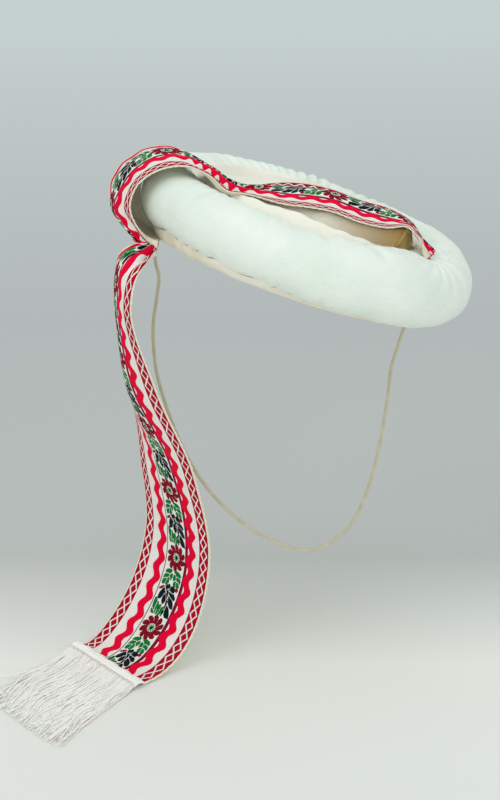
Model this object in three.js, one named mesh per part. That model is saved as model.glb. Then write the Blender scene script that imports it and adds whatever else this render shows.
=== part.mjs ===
// A padded ring hat: a stuffed white roll with a cream cloth crown, worn tilted, with a woven
// folk ribbon laid over the crown, looped round the roll and hanging to a fringed end, and a
// thin elastic that passes under the chin. Millimetres, +Z up.
//
// The parts are drawn in two frames. The setting frame stands on the surface that the ribbon's
// end lies on: x to the right and y away as the worn hat is looked at, z up. The hat frame has
// its origin in the middle of the roll and its z along the hole, tilted in the setting frame.
// The whole is turned and moved at the end, so that the wearer looks along -Y and the origin is
// where the crown bears on the head.
import * as THREE from 'three';

const RAD = Math.PI / 180;
const GAP = 0.4; // clearance between pieces that touch

// How the hat sits
const WEARER_TURN = -35; // turn of the setting frame about Z, degrees
const HEAD_SEAT = [0, 0, 299.9]; // top of the head, in the setting frame
const HAT_CENTRE = [19, 0, 270.4];
const HAT_TILT = { back: -5.6, down: 19.2 }; // degrees about the setting frame's x and y

// The stuffed roll: its section is an ellipse, fatter at the low end (angle 0) and taller
// there and at the back (angle 90)
const ROLL = { radius: 89, halfWidth: 23.2, halfHeight: 23.6, wideLow: 5, tallLow: 3, tallBack: 2.8, sides: 18 };
const TURN_STEPS = 96; // facets round the hat
const GATHERS = { count: 24, depth: 0.7 }; // soft folds drawn into the hole's side
// Places where stitching pulls the roll in: angle round the hat, turn round the section
const DENTS = [
  { angle: -31, turn: 90, depth: 3.4, alongSpread: 9, roundSpread: 40 },
  { angle: 209, turn: -80, depth: 2.0, alongSpread: 8, roundSpread: 40 },
];

// The crown: a folded edge lying on the roll, a shoulder inside it and a shallow dome
const CROWN = { wall: 1.8, domeX: 2, domeY: 42, domeTop: 30.5, domeRound: 1.4 };
const FOLD = { radius: 69.5, halfWidth: 3.6, shoulderRadius: 61, shoulderDrop: 4 };
// How high the folded edge stands: angle round the hat, height
const FOLD_HEIGHTS = [
  [20, 20], [90, 24], [150, 21.5], [206, 18.5], [236, 21], [263, 23.2], [285, 21], [312, 18.5],
];

// The band of cream cloth under the roll, with a welt along its outer edge that hangs lowest
// by the wearer's right ear
const BAND = { thickness: 1.8, from: -160, to: -120, weltTo: -60, welt: 1.8, deepWelt: 9, deepest: -165 };

const RIBBON = { thickness: 1.2, columns: 6, stepsPerStation: 2 };

// The ribbon over the crown and round the roll, in the hat frame: its near and far edges at
// each station, and how far its middle stands out on the patterned side
const BAND_STATIONS = [
  // name, near edge x y z, far edge x y z, camber
  ['stitch', 78, -48, 22.6, 79, -43, 22.6, 0],
  ['slope', 66, -46, 31.8, 70.5, -14, 30, 0],
  ['ridge', 58.5, -45, 34.8, 64, 2, 31, 0],
  ['far side', 47, -46, 30.4, 48, 7, 32, 1],
  ['dome side', 30, -47, 28.6, 31, 8, 30.8, 1],
  ['dome', 11, -46, 28.9, 12, 8, 31.4, 1],
  ['dome foot', -5, -46, 26.4, -5, 7, 30, 1],
  ['shoulder', -18, -47, 23.8, -18, 3, 28, 1],
  ['fold', -32, -48, 23, -29, -3, 25.6, 1],
  ['twist', -48, -50, 23.4, -46, -14, 21.8, 0],
  ['inner edge', -60, -50, 24, -60, -7, 21.6, 1],
  ['inner rise', -72, -47, 25.2, -71, 5, 22.4, 3],
  ['roll top', -84, -46, 25.6, -90, 14, 25, 4],
  ['shoulder out', -95, -45, 21.2, -107, 16, 21.6, 3],
  ['upper side', -104, -45, 13.5, -120, 15, 10, 1],
  ['side', -109.5, -45, 3.3, -126, 14, -6, 0],
  ['lower side', -109, -45, -8.6, -122, 11, -20, 0],
  ['turn under', -102, -45.5, -19, -108, 0, -31, 0],
  ['gather', -93, -46, -26, -97, -28, -33, 0],
  ['pinch', -85.5, -47, -28.4, -86.5, -42.5, -28.6, 0],
];

// The hanging end, in the setting frame
const TAIL_STATIONS = [
  ['pinch', -72.6, -47.6, 274.3, -73.6, -43.2, 274.5, 0],
  ['fan start', -77, -62, 270.5, -82, -38, 274, 3],
  ['fan', -82, -81, 266, -90, -33, 270.5, 8],
  ['fan end', -84.5, -92, 257.5, -91, -29, 260, 11],
  ['curled', -85.5, -92.5, 244, -86, -26.5, 244, 12],
  ['curled low', -82.5, -90.5, 222, -83, -25, 222, 12],
  ['opening', -75, -88.5, 200, -84.5, -22.5, 200, 10],
  ['half open', -66, -85.5, 180, -87.5, -20.5, 180, 8],
  ['sway', -57.5, -81.5, 160, -88.5, -19, 160, 6],
  ['sway low', -50, -77.5, 140, -87, -17, 140, 4],
  ['flat', -45, -74, 120, -85.5, -15.5, 120, 3],
  ['bow', -41, -71.5, 100, -83.5, -14, 100, 2],
  ['bow low', -38.5, -70, 78, -83, -14, 78, 1],
  ['turning', -39.5, -71, 58, -86, -17, 58, 0],
  ['sweep', -43, -74, 40, -92, -22.5, 40, 0],
  ['sweep low', -49, -79.5, 24, -101, -31, 24, 0],
  ['landing', -57, -86, 11.5, -110.5, -38, 11.5, 0],
  ['touching', -66, -93.5, 4, -118, -43.5, 4, 0],
  ['lying', -74, -101.5, 1.5, -122.5, -46.5, 1.5, 0],
  ['end', -81.6, -108.6, 1.2, -126.6, -49.6, 1.2, 0],
];

// The fringe, flat on the surface beyond the ribbon's end
const FRINGE = { header: 7, thickness: 2.4, length: 92, locks: 12, tipWidth: 2.2, lean: 0.36 };

// The chin elastic's route in the setting frame, from the wearer's right to the left
const ELASTIC = { diameter: 2.2, sides: 8, steps: 66 };
const ELASTIC_ROUTE = [
  [-72.35, -35.85, 276], [-73.4, -34.8, 269.5], [-73.2, -33, 262.5], [-71.2, -33, 253],
  [-72.5, -33, 240], [-75.3, -33, 219], [-73.8, -34, 191.4], [-69.4, -36, 172.9],
  [-57.3, -42, 140.5], [-40.4, -48, 112.7], [-15, -53, 88.6], [11.9, -56, 75],
  [24, -56, 72.6], [37, -53, 75], [52, -44, 84], [65, -27, 104], [74, -8, 132],
  [79, 8, 156], [81.6, 16, 174.7], [84.5, 19, 184], [89.8, 22, 200.2], [94.35, 23.85, 211.3],
];

const COLOURS = {
  padded_ring: [0xe9efea, 0.55],
  crown_cloth: [0xf0e9d6, 0.85],
  head_band: [0xefe7d0, 0.85],
  ribbon_band: [0xd81e3c, 0.8],
  ribbon_tail: [0xc81a36, 0.8],
  fringe: [0xf4f2ee, 0.9],
  chin_elastic: [0xc9c0a4, 0.7],
};

function named(name, geometry) {
  const [color, roughness] = COLOURS[name];
  const mesh = new THREE.Mesh(geometry, new THREE.MeshStandardMaterial({ color, roughness, metalness: 0 }));
  mesh.name = name;
  return mesh;
}

// A closed surface through loops of points. Every loop has as many points; the last loop joins
// the first, or both ends are capped by a fan round the loop's middle.
function loft(loops, joined) {
  const size = loops[0].length;
  const points = loops.flat();
  const faces = [];
  const strips = joined ? loops.length : loops.length - 1;
  for (let i = 0; i < strips; i += 1) {
    const a = i * size;
    const b = ((i + 1) % loops.length) * size;
    for (let j = 0; j < size; j += 1) {
      const k = (j + 1) % size;
      faces.push(a + j, b + j, b + k, a + j, b + k, a + k);
    }
  }
  if (!joined) {
    for (const [loop, first, flip] of [[loops[0], 0, false], [loops.at(-1), (loops.length - 1) * size, true]]) {
      const middle = loop.reduce((sum, point) => sum.add(point), new THREE.Vector3()).divideScalar(size);
      const centre = points.push(middle) - 1;
      for (let j = 0; j < size; j += 1) {
        const [p, q] = [first + j, first + (j + 1) % size];
        faces.push(centre, ...(flip ? [q, p] : [p, q]));
      }
    }
  }
  const geometry = new THREE.BufferGeometry().setFromPoints(points);
  geometry.setIndex(faces);
  geometry.computeVertexNormals();
  return geometry;
}

const steps = (count) => Array.from({ length: count }, (_, i) => i / count);

// A point on the roll, or off it by a clearance: angle round the hat, turn round the section
function rollPoint(angle, turn, off = 0) {
  const [low, back] = [Math.cos(angle * RAD), Math.sin(angle * RAD)];
  const inner = Math.max(0, -Math.cos(turn * RAD));
  let pull = GATHERS.depth * inner * (0.5 + 0.5 * Math.cos(GATHERS.count * angle * RAD));
  for (const dent of DENTS) {
    const along = THREE.MathUtils.euclideanModulo(angle - dent.angle + 180, 360) - 180;
    const round = THREE.MathUtils.euclideanModulo(turn - dent.turn + 180, 360) - 180;
    pull += dent.depth * Math.exp(-((along / dent.alongSpread) ** 2) - (round / dent.roundSpread) ** 2);
  }
  const halfWidth = ROLL.halfWidth + ROLL.wideLow * low - pull + off;
  const halfHeight = ROLL.halfHeight + ROLL.tallLow * low + ROLL.tallBack * back - pull + off;
  const radius = ROLL.radius + halfWidth * Math.cos(turn * RAD);
  const height = halfHeight * Math.sin(turn * RAD);
  return new THREE.Vector3(radius * Math.cos(angle * RAD), radius * Math.sin(angle * RAD), height);
}

function paddedRing() {
  const loops = steps(TURN_STEPS).map((a) => steps(ROLL.sides).map((t) => rollPoint(360 * a, 360 * t)));
  return named('padded_ring', loft(loops, true));
}

// A ring of points about the hat's middle, of a radius and a height that may follow the angle
function ringLoop(pointAt) {
  return steps(TURN_STEPS).map((a) => pointAt(360 * a));
}

function polar(radius, angle, height) {
  return new THREE.Vector3(radius * Math.cos(angle * RAD), radius * Math.sin(angle * RAD), height);
}

// The height of the crown's folded edge at an angle, eased between the table's rows
function foldHeight(angle) {
  const last = FOLD_HEIGHTS.length - 1;
  const next = FOLD_HEIGHTS.findIndex(([at]) => at > angle);
  const [high, low] = [next < 0 ? 0 : next, next < 1 ? last : next - 1];
  const span = THREE.MathUtils.euclideanModulo(FOLD_HEIGHTS[high][0] - FOLD_HEIGHTS[low][0], 360);
  const share = THREE.MathUtils.euclideanModulo(angle - FOLD_HEIGHTS[low][0], 360) / span;
  return THREE.MathUtils.lerp(FOLD_HEIGHTS[low][1], FOLD_HEIGHTS[high][1], (1 - Math.cos(Math.PI * share)) / 2);
}

// The dome: share 1 is the shoulder and share 0 the top
function domePoint(angle, share, drop) {
  const low = foldHeight(angle) - FOLD.shoulderDrop;
  const rise = (CROWN.domeTop - low) * (1 - share ** CROWN.domeRound);
  const point = polar(FOLD.shoulderRadius * share, angle, low + rise - drop);
  return point.add(new THREE.Vector3(CROWN.domeX * (1 - share), CROWN.domeY * (1 - share), 0));
}

function crownCloth() {
  const above = [0.03, 0.16, 0.32, 0.48, 0.64, 0.78, 0.9, 1];
  const below = [1, 0.78, 0.48, 0.03];
  const rows = [
    ...above.map((share) => (angle) => domePoint(angle, share, 0)),
    (angle) => polar(FOLD.radius - FOLD.halfWidth, angle, foldHeight(angle) - 1.4),
    (angle) => polar(FOLD.radius - 1, angle, foldHeight(angle)),
    (angle) => rollPoint(angle, 126, GAP + 2.4),
    (angle) => rollPoint(angle, 117, GAP + 0.5),
    (angle) => rollPoint(angle, 140, GAP),
    ...below.map((share) => (angle) => domePoint(angle, share, CROWN.wall)),
  ];
  return named('crown_cloth', loft(rows.map((row) => ringLoop(row)), false));
}

function headBand() {
  const welt = (angle) => {
    const share = ((1 + Math.cos((angle - BAND.deepest) * RAD)) / 2) ** 2;
    return THREE.MathUtils.lerp(BAND.welt, BAND.deepWelt, share);
  };
  const section = [
    [BAND.from, () => GAP + BAND.thickness], [BAND.to, () => GAP + BAND.thickness],
    [BAND.to + 16, (angle) => GAP + welt(angle)], [BAND.weltTo - 12, (angle) => GAP + welt(angle)],
    [BAND.weltTo + 1, (angle) => GAP + 0.55 * welt(angle)],
    [BAND.weltTo, () => GAP], [BAND.weltTo - 20, () => GAP], [BAND.weltTo - 40, () => GAP], [BAND.to, () => GAP],
    [BAND.to - 20, () => GAP], [BAND.from, () => GAP],
  ];
  const loops = steps(TURN_STEPS).map((a) => section.map(([turn, off]) => rollPoint(360 * a, turn, off(360 * a))));
  return named('head_band', loft(loops, true));
}

// A ribbon through stations: smooth near and far edges, a cambered section and a thin wall
function ribbon(name, stations) {
  const near = new THREE.CatmullRomCurve3(stations.map(([, x, y, z]) => new THREE.Vector3(x, y, z)));
  const far = new THREE.CatmullRomCurve3(stations.map(([, , , , x, y, z]) => new THREE.Vector3(x, y, z)));
  const camber = (t) => {
    const place = t * (stations.length - 1);
    const low = Math.min(Math.floor(place), stations.length - 2);
    return THREE.MathUtils.lerp(stations[low][7], stations[low + 1][7], place - low);
  };
  const count = (stations.length - 1) * RIBBON.stepsPerStation;
  const columns = Array.from({ length: RIBBON.columns }, (_, j) => j / (RIBBON.columns - 1));
  // The patterned side faces along this direction
  const faceAt = (t) => {
    const ahead = near.getPoint(Math.min(1, t + 0.01)).add(far.getPoint(Math.min(1, t + 0.01)));
    const behind = near.getPoint(Math.max(0, t - 0.01)).add(far.getPoint(Math.max(0, t - 0.01)));
    const across = far.getPoint(t).sub(near.getPoint(t));
    return across.cross(ahead.sub(behind)).normalize();
  };
  const loops = Array.from({ length: count + 1 }, (_, i) => {
    const t = i / count;
    const [a, b, face, bulge] = [near.getPoint(t), far.getPoint(t), faceAt(t), camber(t)];
    const skin = (side) => columns.map((share) => a.clone().lerp(b, share)
      .addScaledVector(face, 4 * bulge * share * (1 - share) + side * RIBBON.thickness / 2));
    return [...skin(-1), ...skin(1).reverse()];
  });
  return named(name, loft(loops, false));
}

// The fringe: a stitched header along the ribbon's end and tapering locks, flat on the surface
function fringe() {
  const [, nearX, nearY, , farX, farY] = TAIL_STATIONS.at(-1);
  const width = Math.hypot(nearX - farX, nearY - farY);
  const outline = new THREE.Shape();
  outline.moveTo(0, GAP);
  outline.lineTo(width, GAP);
  outline.lineTo(width, FRINGE.header);
  const pitch = width / FRINGE.locks;
  for (let i = FRINGE.locks; i > 0; i -= 1) {
    const middle = (i - 0.5) * pitch + FRINGE.lean * FRINGE.length;
    outline.lineTo(middle + FRINGE.tipWidth / 2, FRINGE.length);
    outline.lineTo(middle - FRINGE.tipWidth / 2, FRINGE.length);
    outline.lineTo((i - 1) * pitch, FRINGE.header);
  }
  outline.closePath();
  const geometry = new THREE.ExtrudeGeometry(outline, { depth: FRINGE.thickness, bevelEnabled: false });
  const mesh = named('fringe', geometry);
  // The outline's x runs from the far corner to the near one, and its y away from the ribbon
  mesh.position.set(farX, farY, FRINGE.thickness);
  mesh.rotation.set(Math.PI, 0, Math.atan2(nearY - farY, nearX - farX), 'ZYX');
  return mesh;
}

function chinElastic() {
  const route = new THREE.CatmullRomCurve3(ELASTIC_ROUTE.map((point) => new THREE.Vector3(...point)));
  const section = new THREE.Shape(steps(ELASTIC.sides).map((a) => new THREE.Vector2(
    ELASTIC.diameter / 2 * Math.cos(2 * Math.PI * a), ELASTIC.diameter / 2 * Math.sin(2 * Math.PI * a))));
  const options = { extrudePath: route, steps: ELASTIC.steps, bevelEnabled: false };
  return named('chin_elastic', new THREE.ExtrudeGeometry(section, options));
}

const hat = new THREE.Group();
hat.add(paddedRing(), crownCloth(), headBand(), ribbon('ribbon_band', BAND_STATIONS));
hat.position.set(...HAT_CENTRE);
hat.rotation.set(HAT_TILT.back * RAD, HAT_TILT.down * RAD, 0);

const setting = new THREE.Group();
setting.add(hat, ribbon('ribbon_tail', TAIL_STATIONS), fringe(), chinElastic());
setting.rotation.z = WEARER_TURN * RAD;
setting.position.set(...HEAD_SEAT).negate().applyEuler(setting.rotation);

const part = new THREE.Group();
part.add(setting);

export default part;
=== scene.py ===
"""Dresses a padded ring hat in Blender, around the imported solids.

The hat is a stuffed white roll with a cream cloth crown and under band, a woven folk ribbon laid
over the crown, looped round the roll and hanging to a fringed end, and a thin chin elastic.

Shapes are drawn in millimetres in two frames. The setting frame stands on the surface that the
ribbon's end lies on: x to the right and y away as the worn hat is looked at, z up. The hat frame
has its origin in the middle of the roll and its z along the hole. to_setting() brings the second
to the first, and place() brings the first to the part's own frame, in metres.
"""
from __future__ import annotations

import logging
import math
from dataclasses import dataclass
from enum import Enum
from typing import Iterator

import bpy
import numpy as np
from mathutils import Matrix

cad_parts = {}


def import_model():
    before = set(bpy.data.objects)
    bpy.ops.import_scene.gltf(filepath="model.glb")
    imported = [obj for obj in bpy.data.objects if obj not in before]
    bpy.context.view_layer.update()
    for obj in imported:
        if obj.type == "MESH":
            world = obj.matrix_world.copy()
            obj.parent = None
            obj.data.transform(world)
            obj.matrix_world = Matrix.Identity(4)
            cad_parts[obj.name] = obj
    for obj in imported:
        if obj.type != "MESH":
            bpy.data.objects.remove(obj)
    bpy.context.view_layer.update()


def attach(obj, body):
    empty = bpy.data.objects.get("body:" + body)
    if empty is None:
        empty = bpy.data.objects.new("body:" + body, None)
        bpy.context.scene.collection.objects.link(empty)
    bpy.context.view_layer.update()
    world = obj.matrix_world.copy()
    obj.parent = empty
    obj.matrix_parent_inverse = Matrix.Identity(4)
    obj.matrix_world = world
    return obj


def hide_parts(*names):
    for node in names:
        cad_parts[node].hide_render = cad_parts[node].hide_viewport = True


LOG = logging.getLogger("ring_hat")
Array = np.ndarray
Piece = bpy.types.Object
Material = bpy.types.Material
Node = bpy.types.Node

MM = 0.001
TAU = 2 * math.pi
GAP = 0.4  # clearance between pieces that touch, mm
WEARER_TURN = -35.0  # turn of the setting frame about Z, degrees
HEAD_SEAT = np.array([0.0, 0.0, 299.9])  # top of the head, in the setting frame
HAT_CENTRE = np.array([19.0, 0.0, 270.4])
HAT_BACK = -5.6  # tilt about the setting frame's x, degrees
HAT_DOWN = 19.2  # tilt about its y, degrees
UV_NAME = "Cloth"
# Name of the attribute that marks where the crown gets painted shade under the ribbon
PAINTED_SHADE_NAME = "under_ribbon_shade"


class Axis(Enum):
    """A coordinate axis that a turn is made about."""

    X = 0
    Y = 1
    Z = 2


def turn_matrix(axis: Axis, degrees: float) -> Array:
    """Rotation by an angle about one axis, by the right-hand rule.

    Args:
        axis: The axis turned about.
        degrees: The angle.

    Returns:
        The 3 by 3 matrix.
    """
    c, s = math.cos(math.radians(degrees)), math.sin(math.radians(degrees))
    matrix = np.eye(3)
    i, j = [k for k in range(3) if k != axis.value]
    sign = -1.0 if axis is Axis.Y else 1.0
    matrix[i, i] = matrix[j, j] = c
    matrix[i, j], matrix[j, i] = -sign * s, sign * s
    return matrix


HAT_TURN = turn_matrix(Axis.X, HAT_BACK) @ turn_matrix(Axis.Y, HAT_DOWN)
FRAME_TURN = turn_matrix(Axis.Z, WEARER_TURN)


def to_setting(points: Array) -> Array:
    """Hat frame to setting frame: turned by the hat's tilt and moved to its centre."""
    return points @ HAT_TURN.T + HAT_CENTRE


def place(points: Array) -> Array:
    """Setting frame in millimetres to the part's frame in metres."""
    return (points - HEAD_SEAT) @ FRAME_TURN.T * MM


def joined(*parts: Array | float) -> Array:
    """Coordinates brought to one shape and put side by side on a last axis."""
    return np.stack(np.broadcast_arrays(*parts), -1)


def polar(radius: Array | float, angle: Array, height: Array | float) -> Array:
    """Points at a radius, an angle in degrees and a height, in the hat frame."""
    return joined(radius * np.cos(np.radians(angle)), radius * np.sin(np.radians(angle)), height)


def wrapped(degrees: Array) -> Array:
    """An angle brought to the range from -180 to 180 degrees."""
    return (degrees + 180.0) % 360.0 - 180.0


def hills(phase: Array) -> Array:
    """Round hills between sharp valleys, as gathered cloth has: |sin| less its mean."""
    return np.abs(np.sin(phase)) - 2.0 / math.pi


def bell(distance: Array, spread: float) -> Array:
    """A bell curve that is 1 at no distance and falls off over the spread."""
    return np.exp(-(distance / spread) ** 2)


def ramp(value: Array, start: float, span: float) -> Array:
    """A share that goes from 0 at the start to 1 a span further on, the span being of either sign."""
    return np.clip((value - start) / span, 0, 1)


def eased(share: Array) -> Array:
    """A share made to start and stop gently: three times its square less twice its cube."""
    return share * share * (3 - 2 * share)


def unit(vectors: Array) -> Array:
    """Vectors at length one."""
    return vectors / np.maximum(np.linalg.norm(vectors, axis=-1, keepdims=True), 1e-9)


def run_length(points: Array) -> Array:
    """Distance travelled along a line of points, from 0 at its first."""
    return np.append(0.0, np.cumsum(np.linalg.norm(np.diff(points, axis=0), axis=-1)))


def through(stations: Array, places: Array) -> Array:
    """A smooth curve through stations, at fractional station numbers.

    Each stretch is a cubic whose slope at a station is the mean of its two chords' slopes,
    weighted by the square roots of the chords' lengths.

    Args:
        stations: The points passed through, along the first axis.
        places: Fractional station numbers, from 0 to the last.

    Returns:
        One point for each place.
    """
    chords = np.diff(stations, axis=0)
    knots = np.sqrt(np.linalg.norm(chords, axis=-1, keepdims=True)) + 1e-9
    slopes = chords / knots
    middle = (slopes[:-1] * knots[1:] + slopes[1:] * knots[:-1]) / (knots[1:] + knots[:-1])
    tangents = np.concatenate([slopes[:1], middle, slopes[-1:]])
    low = np.clip(np.floor(places).astype(int), 0, len(stations) - 2)
    t = (places - low).reshape((-1,) + (1,) * (stations.ndim - 1))
    step = knots[low]
    return (
        (2 * t**3 - 3 * t**2 + 1) * stations[low]
        + (t**3 - 2 * t**2 + t) * step * tangents[low]
        + (3 * t**2 - 2 * t**3) * stations[low + 1]
        + (t**3 - t**2) * step * tangents[low + 1]
    )


def cloth_object(name: str, points: Array, uv: Array, wrap: tuple[bool, bool] = (False, False),
                 flip: bool = False, pole: bool = False) -> Piece:
    """A mesh object from a grid of points, with a UV map in metres.

    Args:
        name: The piece's name.
        points: Rows by columns of points, in the part's frame.
        uv: Rows by columns of coordinates, with one more of each that wraps.
        wrap: Whether the last row meets the first, and the last column the first.
        flip: Turns the faces over.
        pole: Closes the first row with a fan about its middle.

    Returns:
        The object, linked to the scene.
    """
    rows, cols = points.shape[:2]
    index = np.arange(rows * cols).reshape(rows, cols)
    index = np.concatenate([index, index[:1]]) if wrap[0] else index
    index = np.concatenate([index, index[:, :1]], axis=1) if wrap[1] else index
    # A corner's point number and UV number, which differ past a seam
    grid = joined(index, np.arange(index.size).reshape(index.shape))
    faces = np.stack([grid[:-1, :-1], grid[1:, :-1], grid[1:, 1:], grid[:-1, 1:]], 2).reshape(-1, 4, 2)
    faces = faces[:, ::-1] if flip else faces
    loops, totals = faces.reshape(-1, 2), np.full(len(faces), 4)
    cloud, marks = points.reshape(-1, 3), uv.reshape(-1, 2)
    if pole:
        tip = np.broadcast_to([len(cloud), len(marks)], grid[0, 1:].shape)
        fan = np.stack([grid[0, :-1], grid[0, 1:], tip], 1)
        cloud = np.concatenate([cloud, points[:1].mean(axis=1)])
        marks = np.concatenate([marks, uv[:1].mean(axis=1)])
        loops = np.concatenate([loops, fan.reshape(-1, 2)])
        totals = np.append(totals, np.full(len(fan), 3))
    return mesh_object(name, cloud, loops[:, 0], totals, marks[loops[:, 1]])


def mesh_object(name: str, cloud: Array, loops: Array, totals: Array, marks: Array) -> Piece:
    """A smooth mesh object from flat arrays.

    Args:
        name: The piece's name.
        cloud: The points.
        loops: Each face's point numbers, one face after another.
        totals: The number of corners of each face.
        marks: A UV coordinate for each corner.

    Returns:
        The object, linked to the scene.
    """
    mesh = bpy.data.meshes.new(name)
    mesh.vertices.add(len(cloud))
    mesh.vertices.foreach_set("co", cloud.astype(np.float32).ravel())
    mesh.loops.add(len(loops))
    mesh.loops.foreach_set("vertex_index", loops.astype(np.int32))
    mesh.polygons.add(len(totals))
    starts = np.append(0, np.cumsum(totals)[:-1])
    mesh.polygons.foreach_set("loop_start", starts.astype(np.int32))
    mesh.polygons.foreach_set("loop_total", totals.astype(np.int32))
    mesh.polygons.foreach_set("use_smooth", np.ones(len(totals), dtype=bool))
    mesh.uv_layers.new(name=UV_NAME).data.foreach_set("uv", marks.astype(np.float32).ravel())
    mesh.update(calc_edges=True)
    mesh.validate()
    obj = bpy.data.objects.new(name, mesh)
    bpy.context.scene.collection.objects.link(obj)
    return obj


def tube_object(name: str, lines: Array, radius: Array, sides: int) -> Piece:
    """Many round threads as one mesh, each a tube along its own line of points.

    A ring of points stands round each point of a line, in the plane across the line's direction.

    Args:
        name: The piece's name.
        lines: Threads by points by 3, in the part's frame, metres.
        radius: Threads by points, the radius there in metres.
        sides: Corners of a ring.

    Returns:
        The object, with UV x along the thread and y round it, in metres.
    """
    ahead = unit(np.gradient(lines, axis=1))
    side = unit(np.cross(ahead, np.broadcast_to(np.array([0.02, 0.03, 1.0]), ahead.shape)))
    over = np.cross(side, ahead)
    turn = TAU * np.arange(sides) / sides
    ring = side[:, :, None] * np.cos(turn)[:, None] + over[:, :, None] * np.sin(turn)[:, None]
    cloud = (lines[:, :, None] + ring * radius[:, :, None, None]).reshape(-1, 3)
    index = np.arange(len(cloud)).reshape(*lines.shape[:2], sides)
    index = np.concatenate([index, index[..., :1]], -1)
    grid = joined(index, np.arange(index.size).reshape(index.shape))
    near, far = grid[:, :-1], grid[:, 1:]
    quads = np.stack([near[:, :, :-1], near[:, :, 1:], far[:, :, 1:], far[:, :, :-1]], 3)
    caps = np.concatenate([grid[:, 0, -2::-1], grid[:, -1, :-1]])
    along = np.cumsum(np.linalg.norm(np.diff(lines, axis=1, prepend=lines[:, :1]), axis=-1), axis=1)
    around = np.arange(sides + 1) / sides * 2 * math.pi * float(radius.mean())
    marks = joined(along[:, :, None], around).reshape(-1, 2)
    loops = np.concatenate([quads.reshape(-1, 2), caps.reshape(-1, 2)])
    totals = np.append(np.full(quads[..., 0, 0].size, 4), np.full(len(caps), sides))
    return mesh_object(name, cloud, loops[:, 0], totals, marks[loops[:, 1]])


def give_wall(obj: Piece, thickness: float, offset: float = -1.0, reverse: int = 0) -> None:
    """Gives a sheet its wall with a Solidify modifier.

    Args:
        obj: The sheet.
        thickness: The wall, mm.
        offset: -1 puts the wall behind the faces, 0 half to each side.
        reverse: How many material slots further on the back's material is.
    """
    wall = obj.modifiers.new("wall", "SOLIDIFY")
    wall.thickness = thickness * MM
    wall.offset = offset
    wall.material_offset = reverse


def dress(piece: Piece, node: str, slot: str, *materials: Material) -> None:
    """Gives a piece its materials and puts it in the place of its solid, on the one body.

    Args:
        piece: The piece.
        node: The solid that it covers.
        slot: The solid's material slot; not used.
        materials: What it is made of, the face first.
    """
    for material in materials:
        piece.data.materials.append(material)
    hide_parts(node)
    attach(piece, "root")


def srgb(code: str) -> tuple[float, ...]:
    """An sRGB hex colour as linear red, green, blue and alpha."""
    parts = [int(code[i:i + 2], 16) / 255 for i in (1, 3, 5)]
    return (*(c / 12.92 if c <= 0.04045 else ((c + 0.055) / 1.055) ** 2.4 for c in parts), 1.0)


class Paint:
    """A material whose node tree is being wired."""

    def __init__(self, name: str) -> None:
        """Starts a material with a Principled shader on its output.

        Args:
            name: The material's name.
        """
        self.material = bpy.data.materials.new(name)
        self.material.use_nodes = True
        self.tree = self.material.node_tree
        self.shader = self.tree.nodes["Principled BSDF"]

    def add(self, kind: str, *inputs: object, **settings: object) -> Node:
        """Adds a node with its settings and links.

        Args:
            kind: The node's type less its prefix, and its operation after a dot where it has one.
            inputs: What its sockets get, as feed() takes it.
            settings: Properties of the node.

        Returns:
            The node.
        """
        kind, _, operation = kind.partition(".")
        node = self.tree.nodes.new("ShaderNode" + kind)
        for key, value in (settings | ({"operation": operation} if operation else {})).items():
            setattr(node, key, value)
        self.feed(node, *inputs)
        return node

    def feed(self, node: Node, *inputs: object) -> None:
        """Sets or links a node's inputs.

        Args:
            node: The node that receives them.
            inputs: A value, a node or a node's output for each socket in turn, or a dict of
                them by socket name or number.
        """
        for number, entry in enumerate(inputs):
            for key, value in (entry if isinstance(entry, dict) else {number: entry}).items():
                value = value.outputs[0] if isinstance(value, Node) else value
                if isinstance(value, bpy.types.NodeSocket):
                    self.tree.links.new(value, node.inputs[key])
                else:
                    node.inputs[key].default_value = value


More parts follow.
